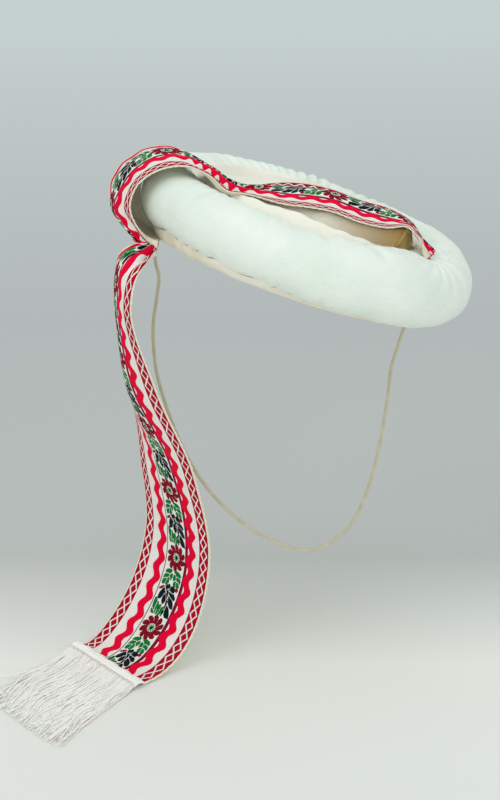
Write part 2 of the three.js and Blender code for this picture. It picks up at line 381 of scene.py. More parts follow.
@dataclass(frozen=True)
class PlainCloth:
    """A plain woven cloth: two close colours in soft patches, fine threads and a slight sheen, with painted
    shade where the piece's attribute marks it.

    Its threads are finer than a pixel, so threads, slubs and thick threads are drawn about four
    times as coarse as real.
    """

    name: str
    light: str
    shade: str
    roughness: float
    sheen: float
    thread: float  # thread spacing as drawn, mm
    relief: float  # height of the threads as drawn, mm
    streaks: float = 1.0  # how far thick threads stand out over the weave
    ribbon_shade_colour: str = "#B4965A"  # painted shade standing in for the ribbon's shade, where the piece's attribute marks it
    patch: float = 38.46  # size of a patch of tone, mm
    slub: float = 2.381  # size of a slub as drawn, mm
    streak: tuple[float, float] = (27.78, 1.3158)  # length and width of a thick thread as drawn, mm

    def material(self) -> Material:
        """Wires the colours, then the threads' relief.

        Returns:
            The material.
        """
        paint = Paint(self.name)
        add = paint.add
        spot = add("TexCoord").outputs["Object"]
        patches = add("TexNoise", {"Vector": spot, "Scale": 1 / (self.patch * MM), "Detail": 4.0,
                                   "Roughness": 0.6})
        level = add("MapRange", patches, 0.35, 0.68, 0.0, 1.0)
        tone = add("Mix", level, {6: srgb(self.light), 7: srgb(self.shade)}, data_type="RGBA")
        # Painted shade: a tan that stands in for the ribbon's shade on the crown, where the attribute marks
        # it
        painted_shade_share = add("Attribute", attribute_name=PAINTED_SHADE_NAME).outputs["Fac"]
        tone = add("Mix", painted_shade_share, {6: tone.outputs[2], 7: srgb(self.ribbon_shade_colour)}, data_type="RGBA")
        cloth = add("UVMap", uv_map=UV_NAME)
        turns = TAU / (self.thread * MM)
        phase = add("VectorMath.MULTIPLY", cloth, (turns, turns, 0.0))
        threads = add("SeparateXYZ", add("VectorMath.SINE", phase)).outputs
        weave = add("Math.MULTIPLY", threads[0], threads[1])
        slubs = add("TexNoise", {"Vector": spot, "Scale": 1 / (self.slub * MM), "Detail": 3.0})
        long, wide = self.streak
        drawn = add("VectorMath.MULTIPLY", cloth, (1 / (long * MM), 1 / (wide * MM), 0.0))
        lines = add("TexNoise", {"Vector": drawn, "Scale": 1.0, "Detail": 2.0})
        rough = add("Math.MULTIPLY_ADD", slubs, 1.6, weave)
        rough = add("Math.MULTIPLY_ADD", lines, self.streaks, rough)
        bump = add("Bump", {"Strength": 0.5, "Distance": self.relief * MM, "Height": rough})
        paint.feed(paint.shader, {"Base Color": tone.outputs[2], "Roughness": self.roughness,
                                  "Sheen Weight": self.sheen, "Normal": bump, "Specular IOR Level": 0.35})
        return paint.material


# Mercerised cotton sateen, washed and stuffed tight: a cool white with a soft gloss
RING_CLOTH = PlainCloth("cotton_sateen", "#F3FAF3", "#E7F1E8", 0.55, 0.1, 1.3, 0.16, 7.0)
# Unbleached plain cotton: matt and creamy
CROWN_CLOTH = PlainCloth("cream_cotton", "#F7F5EC", "#EFEADB", 0.8, 0.1, 0.9, 0.07)
BAND_CLOTH = PlainCloth("cream_cotton_band", "#F3EEDF", "#E8E0CA", 0.8, 0.1, 0.9, 0.07)


@dataclass(frozen=True)
class Motif:
    """An oval of the ribbon's flower stripe, measured from the flower's middle.

    x runs along the ribbon's fall and y towards its far edge, in millimetres.
    """

    x: float
    y: float
    length: float
    width: float
    angle: float


# Two tufts of green leaves under the flower
TUFTS = (
    Motif(10.9, -3.6, 3.4, 1.40, -80), Motif(14.0, -5.4, 2.8, 1.30, -52), Motif(13.4, -1.9, 3.3, 1.15, -12),
    Motif(17.0, -5.8, 2.4, 1.10, -28), Motif(17.0, -3.0, 2.6, 1.00, -14), Motif(10.9, 4.0, 3.4, 1.40, 80),
    Motif(13.0, 2.1, 3.2, 1.15, 10), Motif(13.8, 5.8, 3.2, 1.30, 46), Motif(16.6, 3.8, 3.0, 1.10, 18),
    Motif(17.3, 6.8, 2.6, 1.15, 28),
)
# The dark sprig: its stem, then its leaves
SPRIG = (
    Motif(24.5, 0.6, 4.8, 0.50, -17), Motif(32.5, -1.9, 5.0, 0.42, -10), Motif(38.3, -1.9, 3.0, 0.36, 8),
    Motif(21.8, -2.9, 2.3, 1.25, -45), Motif(21.4, 2.1, 2.5, 1.10, 32), Motif(25.4, -4.2, 3.4, 0.95, -58),
    Motif(30.0, -4.9, 4.1, 1.05, -42), Motif(37.4, -5.4, 4.5, 1.15, -32), Motif(25.8, 5.0, 4.1, 1.15, 24),
    Motif(29.0, 1.7, 3.1, 0.95, -10),
)
# Slim green leaves over the next flower
BLADES = (
    Motif(37.6, 0.1, 3.0, 0.95, 16), Motif(37.2, 2.5, 3.4, 1.00, 4), Motif(36.2, 4.8, 3.5, 1.05, -8),
    Motif(34.6, 7.2, 4.2, 1.15, -16), Motif(39.4, 6.8, 2.1, 0.90, -36),
)
BUDS = (Motif(20.8, -6.6, 1.2, 1.00, 0), Motif(22.4, 7.2, 2.2, 0.60, 56))


# The flower stripe's groups of ovals, from the back: ovals, colour and how much wider than charted
FLOWER_PARTS = ((TUFTS, "green", 1.6), (BLADES, "green", 1.6), (SPRIG, "dark", 2.0), (BUDS, "maroon", 1.6))


@dataclass(frozen=True)
class RibbonWeave:
    """A figured ribbon woven in cotton: flowers between wavy stripes and lattice borders.

    Every distance across is from the near edge. The woven steps and ribs are drawn a little
    coarser than real, so that they show.
    """

    name: str
    phase: float  # where the first flower's middle lies along the ribbon, mm
    reverse: bool = False
    width: float = 72.0
    repeat: float = 50.0
    lead: float = 9.2  # how far a repeat starts before its flower's middle
    pick: float = 0.36  # size of one woven step as drawn
    borders: tuple[tuple[float, float], ...] = ((6.5, 4.4), (65.5, 4.2))  # middle, half width
    diamond: float = 8.4  # length of one lattice diamond
    diamond_half: float = 3.1  # half its width
    lattice: float = 0.6  # half the width of a lattice line
    wave: float = 13.5  # length of one wave of the crimson stripes
    # The crimson stripes: middle, height of the wave, where it starts, half width
    waves: tuple[tuple[float, ...], ...] = ((19.9, -1.9, 3.0, 3.45), (51.2, 1.7, 8.5, 3.3))
    bold: float = 1.24  # how far the leaves' ovals grow in length over their chart
    axis: float = 34.8  # the flower stripe's middle
    petals: float = 9.4  # radius of the flower
    heart: float = 3.2  # radius of its white heart
    rib: tuple[float, float] = (0.9, 1.3)  # spacing of the ribs along and across, as drawn
    white: str = "#F4F0EC"
    ivory: str = "#F2ECDA"
    crimson: str = "#EE0038"
    maroon: str = "#8E0A30"
    red: str = "#B20826"
    flower: str = "#860A22"
    green: str = "#0A7A38"
    dark: str = "#082024"
    line: str = "#4A1230"
    back: str = "#FBF6E2"  # the floats on the wrong side, made paler than they are as painted light for the loop's shaded inside

    def material(self) -> Material:
        """Wires the pattern as masks over a white ground, then the threads' relief.

        The weft's ribs give the relief, and a soft noise makes the colour slightly uneven.

        Returns:
            The material.
        """
        paint = Paint(self.name)
        add = paint.add
        scaled = add("VectorMath.MULTIPLY", add("UVMap", uv_map=UV_NAME), (1 / MM, 1 / MM, 0.0))
        steps = add("SeparateXYZ", add("VectorMath.SNAP", scaled, (self.pick,) * 3)).outputs
        colour: object = srgb(self.white)
        for mask, code in self.masks(paint, steps[0], steps[1]):
            colour = add("Mix", mask, {6: colour, 7: srgb(code)}, data_type="RGBA").outputs[2]
        if self.reverse:
            # The wrong side's floats, partly real colour and partly painted light that brightens the loop's
            # shaded inside
            colour = add("Mix", 0.92, {6: colour, 7: srgb(self.back)}, data_type="RGBA").outputs[2]
        ribs = add("VectorMath.MULTIPLY", scaled, (TAU / self.rib[0], TAU / self.rib[1], 0.0))
        threads = add("SeparateXYZ", add("VectorMath.SINE", ribs)).outputs
        height = add("Math.MULTIPLY_ADD", threads[1], 0.4, threads[0])
        fuzz = add("TexNoise", {"Vector": scaled, "Scale": 0.9, "Detail": 3.0})
        shade = add("MapRange", fuzz, 0.25, 0.75, 0.86, 1.04)
        toned = add("VectorMath.SCALE", colour, {3: shade})
        bump = add("Bump", {"Strength": 0.45, "Distance": 0.12 * MM, "Height": height})
        paint.feed(paint.shader, {"Base Color": toned, "Roughness": 0.7, "Normal": bump,
                                  "Specular IOR Level": 0.06})
        return paint.material

    def masks(self, paint: Paint, along: object, across: object) -> Iterator[tuple[object, str]]:
        """Yields each mask with its colour, from the ground up: stripes, flowers, then edges.

        A white line parts ovals that touch. The flower's edge is a power of |sin 5a|, a being the
        angle about its middle, which makes ten petals.

        Args:
            paint: The material.
            along: The distance along the ribbon, mm.
            across: The distance from its near edge, mm.

        Yields:
            The mask's output and the colour's code.
        """
        add = paint.add
        started = add("Math.SUBTRACT", along, self.phase)
        for middle, half in self.borders:
            yield add("Math.COMPARE", across, middle, half), self.red
            zigzag = add("Math.PINGPONG", started, self.diamond / 2)
            rise = add("Math.MULTIPLY", zigzag, 2 * self.diamond_half / self.diamond)
            for side in (-1.0, 1.0):
                thread = add("Math.MULTIPLY_ADD", rise, side, middle)
                yield add("Math.COMPARE", across, thread, self.lattice), self.white
        yield add("Math.COMPARE", across, 24.0, 1.3), self.maroon
        for middle, height, start, half in self.waves:
            phase = add("Math.MULTIPLY", add("Math.SUBTRACT", started, start), TAU / self.wave)
            crest = add("Math.MULTIPLY_ADD", add("Math.COSINE", phase), height, middle)
            yield add("Math.COMPARE", across, crest, half), self.crimson
        for middle, half in ((25.3, 0.45), (45.2, 0.5)):
            yield add("Math.COMPARE", across, middle, half), self.line
        x = add("Math.WRAP", started, self.repeat - self.lead, -self.lead)
        y = add("Math.SUBTRACT", across, self.axis)
        spot = add("CombineXYZ", x, y)
        for motifs, colour, widened in FLOWER_PARTS:
            least, second = self.nearest(paint, spot, motifs, widened)
            yield add("Math.LESS_THAN", least, 1.0), getattr(self, colour)
            between = add("Math.LESS_THAN", add("Math.SUBTRACT", second, least), 0.14)
            yield add("Math.MULTIPLY", between, add("Math.LESS_THAN", second, 1.05)), self.white
        reach = add("VectorMath.LENGTH", spot).outputs["Value"]
        swirl = add("Math.MULTIPLY_ADD", reach, 0.045, add("Math.ARCTAN2", y, x))
        petal = add("Math.ABSOLUTE", add("Math.SINE", add("Math.MULTIPLY", swirl, 5.0)))
        edge = add("Math.MULTIPLY", add("Math.POWER", petal, 0.14), self.petals)
        yield add("Math.LESS_THAN", reach, edge), self.flower
        yield add("Math.LESS_THAN", reach, self.heart), self.white
        edge = add("Math.MULTIPLY", add("Math.POWER", petal, 0.7), self.heart + 0.1)
        yield add("Math.LESS_THAN", reach, edge), self.green
        yield add("Math.LESS_THAN", reach, 1.1), self.dark
        for edge in (0.0, self.width):
            yield add("Math.COMPARE", across, edge, 2.0), self.ivory

    def nearest(self, paint: Paint, spot: Node, motifs: tuple[Motif, ...],
                widened: float) -> tuple[object, object]:
        """How far a point lies from the nearest two of a group of ovals, as a share of their radius.

        Args:
            paint: The material.
            spot: The point, in the ovals' coordinates.
            motifs: The ovals.
            widened: How many times wider than charted each is.

        Returns:
            Outputs for the nearest and the second nearest, each below 1 inside its oval.
        """
        least = second = 9.0  # further off than any oval
        for motif in motifs:
            local = paint.add("Mapping", {
                "Vector": spot, "Location": (motif.x, motif.y, 0.0),
                "Rotation": (0.0, 0.0, math.radians(motif.angle)),
                "Scale": (motif.length * self.bold, motif.width * widened, 1.0)}, vector_type="TEXTURE")
            reach = paint.add("VectorMath.LENGTH", local).outputs["Value"]
            second = paint.add("Math.MINIMUM", second, paint.add("Math.MAXIMUM", least, reach))
            least = paint.add("Math.MINIMUM", least, reach)
        return least, second


@dataclass(frozen=True)
class Yarn:
    """A twisted or braided thread: one colour, with slanted strands in relief."""

    name: str
    light: str
    shade: str
    lay: float  # length of one turn of the strands, mm
    roughness: float
    relief: float = 0.6  # how far the strands show in relief, from 0 to 1
    fuzz: float = 6.25  # size of a patch of lint, mm

    def material(self) -> Material:
        """Wires the colours, then the threads' relief.

        Returns:
            The material.
        """
        paint = Paint(self.name)
        add = paint.add
        axes = add("SeparateXYZ", add("UVMap", uv_map=UV_NAME)).outputs
        slant = add("Math.ADD", axes[0], axes[1])
        strand = add("Math.SINE", add("Math.MULTIPLY", slant, TAU / (self.lay * MM)))
        lint = add("TexNoise", {"Vector": add("TexCoord").outputs["Object"], "Scale": 1 / (self.fuzz * MM),
                                "Detail": 2.0})
        level = add("Math.MULTIPLY_ADD", strand, 0.25, lint)
        tone = add("Mix", level, {6: srgb(self.shade), 7: srgb(self.light)}, data_type="RGBA")
        bump = add("Bump", {"Strength": self.relief, "Distance": 0.2 * MM, "Height": strand})
        paint.feed(paint.shader, {"Base Color": tone.outputs[2], "Roughness": self.roughness,
                                  "Sheen Weight": 0.3, "Normal": bump})
        return paint.material


# Soft-spun cotton left loose below the heading: white and matt, with hardly any twist to see
FRINGE_YARN = Yarn("cotton_fringe", "#FFFFFC", "#FAFAF5", 1.6, 0.8, 0.15)
# Rubber core braided over with beige thread: slightly glossy
ELASTIC_BRAID = Yarn("braided_elastic", "#DDD6BC", "#B4AB8E", 1.4, 0.5)
# The same cotton where the ribbon's red has bled into it
PINK_THREAD = Yarn("bled_thread", "#F1C9C4", "#E29C98", 0.9, 0.7)


@dataclass(frozen=True)
class Dent:
    """A place where stitching pulls the roll in: angle round the hat and turn round the section."""

    angle: float
    turn: float
    depth: float
    along_spread: float
    round_spread: float


@dataclass
class PaddedRoll:
    """The stuffed roll: an ellipse carried round a circle, fatter at its low end (angle 0)."""

    radius: float = 89.0  # of the circle that the section is carried round
    half_width: float = 23.2
    half_height: float = 23.6
    wide_low: float = 5.0  # what the low end adds to the half width, and the high end loses
    tall_low: float = 3.0  # the same for the half height
    tall_back: float = 2.8  # what the back adds to it
    gathers: int = 24
    gather_depth: float = 0.7
    dents: tuple[Dent, ...] = (Dent(-31, 90, 3.4, 9, 40), Dent(209, -80, 2.0, 8, 40))
    notches: tuple[Dent, ...] = (
        Dent(-84, 98, 3.4, 2.2, 24), Dent(-63, 98, 5.6, 2.4, 28), Dent(-101, -66, 2.2, 1.6, 16),
        Dent(-122, -60, 2.2, 1.5, 14), Dent(-62, -66, 2.6, 2.0, 20), Dent(-80, -64, 2.2, 1.8, 18),
        Dent(-137, 60, 1.6, 2.4, 26), Dent(-31, 90, 3.0, 2.0, 9))
    # Slow swells of the stuffing: waves round the hat, waves round the section, height
    lumps: tuple[tuple[float, ...], ...] = (
        (3, 1, 0.45), (5, -1, 0.35), (9, 2, 0.22), (13, -2, 0.16), (23, 3, 0.08))
    rounds: int = 880
    sides: int = 104

    def surface(self, angle: Array, turn: Array, off: Array | float = 0.0, puckered: bool = True) -> Array:
        """Points on the roll, in the hat frame.

        The section's half width and half height, less what stitching pulls in, are carried by
        the cosine and sine of the turn; the circle's radius is added.

        Args:
            angle: Degrees round the hat.
            turn: Degrees round the section, 0 outside and 90 on top.
            off: Clearance off the surface, mm.
            puckered: Has the notches, puckers and lumps of the sewn cloth, in place of even gathers.

        Returns:
            The points.
        """
        low, back = np.cos(np.radians(angle)), np.sin(np.radians(angle))
        out, up = np.cos(np.radians(turn)), np.sin(np.radians(turn))
        even = 0.5 + 0.5 * np.cos(self.gathers * np.radians(angle))
        pull = 0.0 if puckered else self.gather_depth * np.maximum(0.0, -out) * even
        for dent in self.dents + self.notches if puckered else self.dents:
            along = bell(wrapped(angle - dent.angle), dent.along_spread)
            pull = pull + dent.depth * along * bell(wrapped(turn - dent.turn), dent.round_spread)
        swell = off - pull + self.puckers(angle, turn) if puckered else off - pull
        wide = self.half_width + self.wide_low * low + swell
        tall = self.half_height + self.tall_low * low + self.tall_back * back + swell
        return polar(self.radius + wide * out, angle, tall * up)

    def puckers(self, angle: Array, turn: Array) -> Array:
        """Height of the cloth's puckers over the plain roll, mm.

        It is a sum of hills along one direction each, under bells that say where they are:
        slanted gathers on the hole's side, strongest at the back; creases that fan out from the
        stitch at the right; slow swells of the stuffing; tucks on the top at the front; gathers
        along the seam underneath; one crease beside the ribbon's loop.

        Args:
            angle: Degrees round the hat.
            turn: Degrees round the section.

        Returns:
            The height at each point.
        """
        around, over = np.radians(angle), np.radians(turn)
        slant = 66 * around + 2.6 * over + 1.8 * np.sin(3 * around + 1.0) + 1.1 * np.sin(7 * around)
        back = 0.35 + 1.1 * bell(wrapped(angle - 100), 44) + 0.8 * bell(wrapped(angle - 8), 24)
        uneven = 0.75 + 0.35 * np.sin(11 * around + 2 * over) + 0.25 * np.sin(17 * around + 0.6)
        height = 2.9 * back * bell(wrapped(turn - 118), 46) * uneven * hills(slant / 2)
        across = wrapped(angle + 31) * math.pi / 180 * 92
        down = wrapped(turn - 90) * math.pi / 180 * 25
        reach, ray = np.hypot(across / 1.5, down), np.arctan2(down, across)
        fan = bell(reach, 32) * (1 - bell(reach, 5)) * (0.35 + 0.65 * np.cos(ray / 2) ** 2)
        height = height + 2.6 * fan * hills(7.5 * ray + 0.5 + 0.05 * reach)
        for step, (waves, turns, size) in enumerate(self.lumps):
            height = height + size * np.sin(waves * around + turns * over + 1.7 * step)
        tucks = bell(wrapped(angle + 78), 52) * bell(wrapped(turn - 108), 15)
        height = height + 0.9 * tucks * hills(21 * around + 1.3 * np.sin(9 * around) + 0.8 * over)
        seam = bell(wrapped(turn + 74), 16) * (0.5 + 0.5 * np.cos(around + 1.9))
        height = height + 1.2 * seam * hills(19 * around + 1.5 * np.sin(8 * around) - 0.9 * over)
        crease = bell(wrapped(angle + 128), 7) * bell(wrapped(turn - 96), 22)
        return height + 0.5 * crease * np.sin(12 * over + 9 * around)

    def build(self) -> Piece:
        """Makes the roll's mesh, closed both ways round.

        Returns:
            The roll.
        """
        angle = 360.0 * np.arange(self.rounds)[:, None] / self.rounds
        turn = 360.0 * np.arange(self.sides)[None, :] / self.sides
        along = TAU * self.radius * MM * np.arange(self.rounds + 1)[:, None] / self.rounds
        over = TAU * self.half_width * MM * np.arange(self.sides + 1)[None, :] / self.sides
        points = place(to_setting(self.surface(angle, turn)))
        roll = cloth_object("roll_cover", points, joined(along, over), wrap=(True, True))
        dress(roll, "padded_ring", "ring_cloth", RING_CLOTH.material())
        return roll


@dataclass
class Crown:
    """The cloth crown: a shallow dome towards the back, a shoulder and a folded edge on the roll."""

    roll: PaddedRoll
    wall: float = 1.5
    dome_x: float = 2.0
    dome_y: float = 42.0
    dome_top: float = 30.5
    dome_round: float = 1.4
    fold_radius: float = 69.5
    shoulder: float = 61.0
    shoulder_drop: float = 4.0
    # How high the folded edge stands: angle round the hat, height
    fold_heights: tuple[tuple[float, float], ...] = (
        (20, 20), (90, 24), (150, 21.5), (206, 18.5), (236, 21), (263, 23.2), (285, 21), (312, 18.5))
    # The folded edge's section: how far out and how high over its middle, and its share of ripple
    fold: tuple[tuple[float, ...], ...] = (
        (-4.9, -4.4, 0), (-3.0, -1.0, 0.4), (-0.6, 1.5, 1), (1.9, 0.6, 0.6))
    # Where the cloth's edge is tucked against the roll: turn round the roll, clearance
    tuck: tuple[tuple[float, float], ...] = ((131.0, 1.0), (124.0, 0.5), (118.0, 0.2))
    columns: int = 480
    rows: int = 100

    def fold_height(self, angle: Array) -> Array:
        """The folded edge's height, eased between the table's rows by half a cosine wave.

        Args:
            angle: Degrees round the hat.

        Returns:
            The height at each, mm.
        """
        rows = np.array(self.fold_heights)
        turns = np.concatenate([rows[-1:] - [360, 0], rows, rows[:1] + [360, 0]])
        high = np.clip(np.searchsorted(turns[:, 0], angle % 360, side="right"), 1, len(turns) - 1)
        low = high - 1
        share = (angle % 360 - turns[low, 0]) / (turns[high, 0] - turns[low, 0])
        return turns[low, 1] + (turns[high, 1] - turns[low, 1]) * (1 - np.cos(math.pi * share)) / 2

    def dome(self, angle: Array, share: float) -> Array:
        """A ring of the dome.

        The height falls from the top by the share to a power, and the ring's middle moves to
        the dome's top as the ring shrinks. Soft creases run round the top.

        Args:
            angle: Degrees round the hat.
            share: 1 at the shoulder and 0 at the top.

        Returns:
            The ring's points, in the hat frame.
        """
        low = self.fold_height(angle) - self.shoulder_drop
        rise = (self.dome_top - low) * (1 - share ** self.dome_round)
        slope, bulge = np.radians(angle), math.sin(math.pi * share)
        crease = 1.7 * bulge * np.sin(2 * slope + 17 * share)
        crease = crease + 0.5 * share * np.sin(9 * slope + 6 * share) * bulge
        ring = polar(self.shoulder * share, angle, low + rise + crease - 0.4)
        return ring + np.array([self.dome_x, self.dome_y, 0.0]) * (1 - share)

    def worked(self, points: Array) -> Array:
        """Draws the cloth up under the ribbon and lays folds at the front.

        Under the ribbon a point rises to just below the near edge's stations, by a share that
        goes from 0 to 1 over a few millimetres behind that edge and fades out along it and
        towards the far edge. Beside the folded edge lie round hills of the distance from the
        middle, 3 mm apart, that wander a little round the hat.

        Args:
            points: The crown's points, in the hat frame.

        Returns:
            The moved points.
        """
        x, y, z = points[..., 0], points[..., 1], points[..., 2]
        reach, slope = np.hypot(x, y), np.arctan2(y, x)
        rows = np.array([row[1:4] for row in BAND_STATIONS[8:0:-1]], dtype=float)
        under = np.interp(x, rows[:, 0], rows[:, 2]) - 2.4
        along = ramp(x, -14.0, 22.0) * ramp(x, 70.0, -8.0)
        share = ramp(y, -43.0, 5.0) * ramp(y, 2.0, -26.0) * along * ramp(reach, 76.0, -5.0)
        front = bell(wrapped(np.degrees(slope) + 95), 38) * bell(reach - 65, 6.5)
        lift = np.maximum(under - z, 0.0) * eased(share)
        lift = lift + 1.5 * front * hills(1.02 * reach + 1.9 * np.sin(5 * slope))
        return joined(x, y, z + lift)

    def under_ribbon_shade(self, points: Array) -> Array:
        """How much painted shade the cloth gets, from 0 to 1, standing in for the ribbon's shade: most in
        the fold under the ribbon's right half.
        """
        x, y = points[..., 0], points[..., 1]
        return ramp(x, 6.0, 50.0) * ramp(y, -60.0, 8.0) * ramp(y, -20.0, -12.0)

    def build(self) -> Piece:
        """Makes the crown's cloth, from its top out to the edge that is tucked against the roll.

        Returns:
            The crown.
        """
        angle = 360.0 * np.arange(self.columns) / self.columns
        height = self.fold_height(angle)
        ripple = 0.35 * np.sin(np.radians(angle) * 17) + 0.3 * np.sin(np.radians(angle) * 29 + 1)
        rings = [self.dome(angle, share) for share in (0.02, 0.12, 0.25, 0.4, 0.55, 0.7, 0.84, 0.94, 1.0)]
        for out, up, part in self.fold:
            rings.append(polar(self.fold_radius + out, angle, height + up + part * ripple))
        for turn, off in self.tuck:
            rings.append(self.roll.surface(angle, np.full_like(angle, turn), GAP + off))
        points = self.worked(through(np.stack(rings), np.linspace(0, len(rings) - 1, self.rows)))
        radius = np.linalg.norm(points[:, :, :2], axis=-1)
        uv = polar(radius, angle, 0.0)[..., :2] * MM
        uv = np.concatenate([uv, uv[:, :1]], axis=1)
        crown = cloth_object("crown_cover", place(to_setting(points)), uv, wrap=(False, True), pole=True)
        # The painted shade under the ribbon, kept on the points for the cloth's material
        tone = crown.data.attributes.new(PAINTED_SHADE_NAME, "FLOAT", "POINT")
        tone.data.foreach_set("value", np.append(self.under_ribbon_shade(points).ravel(), 0.0).astype(np.float32))
        give_wall(crown, self.wall)
        dress(crown, "crown_cloth", "crown_cloth", CROWN_CLOTH.material())
        return crown


@dataclass
class HeadBand:
    """The band of cream cloth under the roll, with a soft welt that hangs lowest by the ear."""

    roll: PaddedRoll
    wall: float = 0.9
    start: float = -160.0  # turn round the roll of its inner edge
    end: float = -74.0  # and of its outer edge, where the welt is deepest
    tucked: float = 13.0  # how much sooner it ends where the welt is least
    welt: float = 1.8
    deep_welt: float = 9.0
    deepest: float = -165.0
    columns: int = 600
    rows: int = 44

    def build(self) -> Piece:
        """Makes the band: an offset from the roll that swells to the welt and comes back to it.

        Returns:
            The band.
        """
        angle = (360.0 * np.arange(self.columns) / self.columns)[:, None]
        share = np.linspace(0, 1, self.rows)[None, :]
        deep = ((1 + np.cos(np.radians(angle - self.deepest))) / 2) ** 2
        welt = self.welt + (self.deep_welt - self.welt) * deep
        swell = np.sin(math.pi * share**1.3) ** 1.2
        around = np.radians(angle)
        ripple = 0.5 * np.sin(around * 31 + 2 * np.sin(around * 5)) * share * (1 - share) * 4
        edge = bell(1 - share, 0.08)
        off = (GAP + self.wall) * (1 - edge) + 0.5 * edge + (welt - 0.6) * swell
        off = off + 0.4 * ripple * (0.4 + deep)
        end = self.end - self.tucked * (1 - deep)
        points = place(to_setting(self.roll.surface(angle, self.start + (end - self.start) * share, off)))
        along = TAU * self.roll.radius * MM * np.arange(self.columns + 1)[:, None] / self.columns
        band = cloth_object("under_band", points, joined(along, 0.045 * share), wrap=(True, False))
        give_wall(band, self.wall)
        dress(band, "head_band", "band_cloth", BAND_CLOTH.material())
        return band


# The ribbon over the crown and round the roll, in the hat frame: near and far edges at each
# station, and how far its middle stands out on the patterned side
BAND_STATIONS = (
    # name, near edge x y z, far edge x y z, camber
    ("stitch", 78, -48, 22.6, 79, -43, 22.6, 0),
    ("slope", 66, -46, 31.8, 70.5, -14, 30, 0),
    ("ridge", 58.5, -45, 34.8, 64, 2, 31, 0),
    ("far side", 47, -46, 30.4, 48, 7, 32, 1),
    ("dome side", 30, -47, 28.6, 31, 8, 30.8, 1),
    ("dome", 11, -46, 28.9, 12, 8, 31.4, 1),
    ("dome foot", -5, -46, 26.4, -5, 7, 30, 1),
    ("shoulder", -18, -47, 23.8, -18, 3, 28, 1),
    ("fold", -32, -48, 23, -29, -3, 25.6, 1),
    ("twist", -48, -50, 23.4, -46, -14, 21.8, 0),
    ("inner edge", -60, -50, 24, -60, -7, 21.6, 1),
    ("inner rise", -72, -47, 25.2, -71, 5, 22.4, 3),
    ("roll top", -84, -46, 25.6, -90, 14, 25, 4),
    ("shoulder out", -95, -45, 21.2, -107, 16, 21.6, 3),
    ("upper side", -104, -45, 13.5, -120, 15, 10, 1),
    ("side", -109.5, -45, 3.3, -126, 14, -6, 0),
    ("lower side", -109, -45, -8.6, -122, 11, -20, 0),
    ("turn under", -102, -45.5, -19, -108, 0, -31, 0),
    ("gather", -93, -46, -26, -97, -28, -33, 0),
    ("pinch", -85.5, -47, -28.4, -86.5, -42.5, -28.6, 0),
)

# The hanging end, in the setting frame
TAIL_STATIONS = (
    ("pinch", -72.6, -47.6, 274.3, -73.6, -43.2, 274.5, 0),
    ("fan start", -77, -62, 270.5, -82, -38, 274, 4),
    ("fan", -82, -81, 266, -90, -33, 270.5, 8),
    ("fan end", -84.5, -92, 257.5, -91, -29, 260, 8),
    ("curled", -85.5, -92.5, 244, -86, -26.5, 244, 9.5),
    ("curled low", -82.5, -90.5, 222, -83, -25, 222, 9),
    ("opening", -75, -88.5, 200, -84.5, -22.5, 200, 8.5),
    ("half open", -66, -85.5, 180, -87.5, -20.5, 180, 8),
    ("sway", -57.5, -81.5, 160, -88.5, -19, 160, 6),
    ("sway low", -50, -77.5, 140, -87, -17, 140, 4),
    ("flat", -45, -74, 120, -85.5, -15.5, 120, 3),
    ("bow", -41, -71.5, 100, -83.5, -14, 100, 2),
    ("bow low", -38.5, -70, 78, -83, -14, 78, 1),
    ("turning", -39.5, -71, 58, -86, -17, 58, 0),
    ("sweep", -43, -74, 40, -92, -22.5, 40, 0),
    ("sweep low", -49, -79.5, 24, -101, -31, 24, 0),
    ("landing", -57, -86, 11.5, -110.5, -38, 11.5, 0),
    ("touching", -66, -93.5, 4, -118, -43.5, 4, 0),
    ("lying", -74, -101.5, 1.5, -122.5, -46.5, 1.5, 0),
    ("end", -81.6, -108.6, 1.2, -126.6, -49.6, 1.2, 0),
)


@dataclass(frozen=True)
class Swell:
    """A soft push on a ribbon: where it is strongest, how far it spreads and which way it goes."""

    place: float  # station number
    share: float  # 0 near edge, 1 far edge
    place_spread: float
    share_spread: float
    push: tuple[float, float, float]


# Over the crown the ribbon stands high along its flowers and its far edge, with a dip between;
# by the stitch and at the twist its edges are drawn down and to the front; round the roll its
# middle bows out
OVER_SWELLS = (
    Swell(4.5, 0.56, 3.8, 0.24, (0, 0, 5.6)),
    Swell(4.5, 0.80, 3.8, 0.10, (0, 0, -5.0)),
    Swell(4.5, 1.00, 3.8, 0.10, (0, 0, 3.4)),
    Swell(9.8, 1.0, 1.0, 0.6, (0, -12, -2)),
    Swell(11.2, 1.0, 0.9, 0.55, (2, -17, -1)),
    Swell(9.7, 0.0, 0.75, 0.32, (0, -9, -2.2)),
    Swell(0.9, 1.0, 0.8, 0.6, (0.3, -8, -1.5)),
    Swell(15.0, 0.62, 2.2, 0.38, (-4.5, 0, 1.5)),
    Swell(16.5, 0.40, 0.9, 0.28, (-6.5, 0, -2.0)),
)
# The curled stretch keeps its far edge behind its near one
TAIL_SWELLS = (
    Swell(4.8, 1.0, 2.2, 0.6, (-5.5, 0, 0)),
    Swell(4.2, 0.66, 1.8, 0.22, (-0.8, 0, 0)),
    Swell(5.6, 0.0, 1.3, 0.25, (3.2, 0, 0)),
    Swell(6.5, 0.5, 1.5, 0.30, (-4.0, 0, 0)),
)


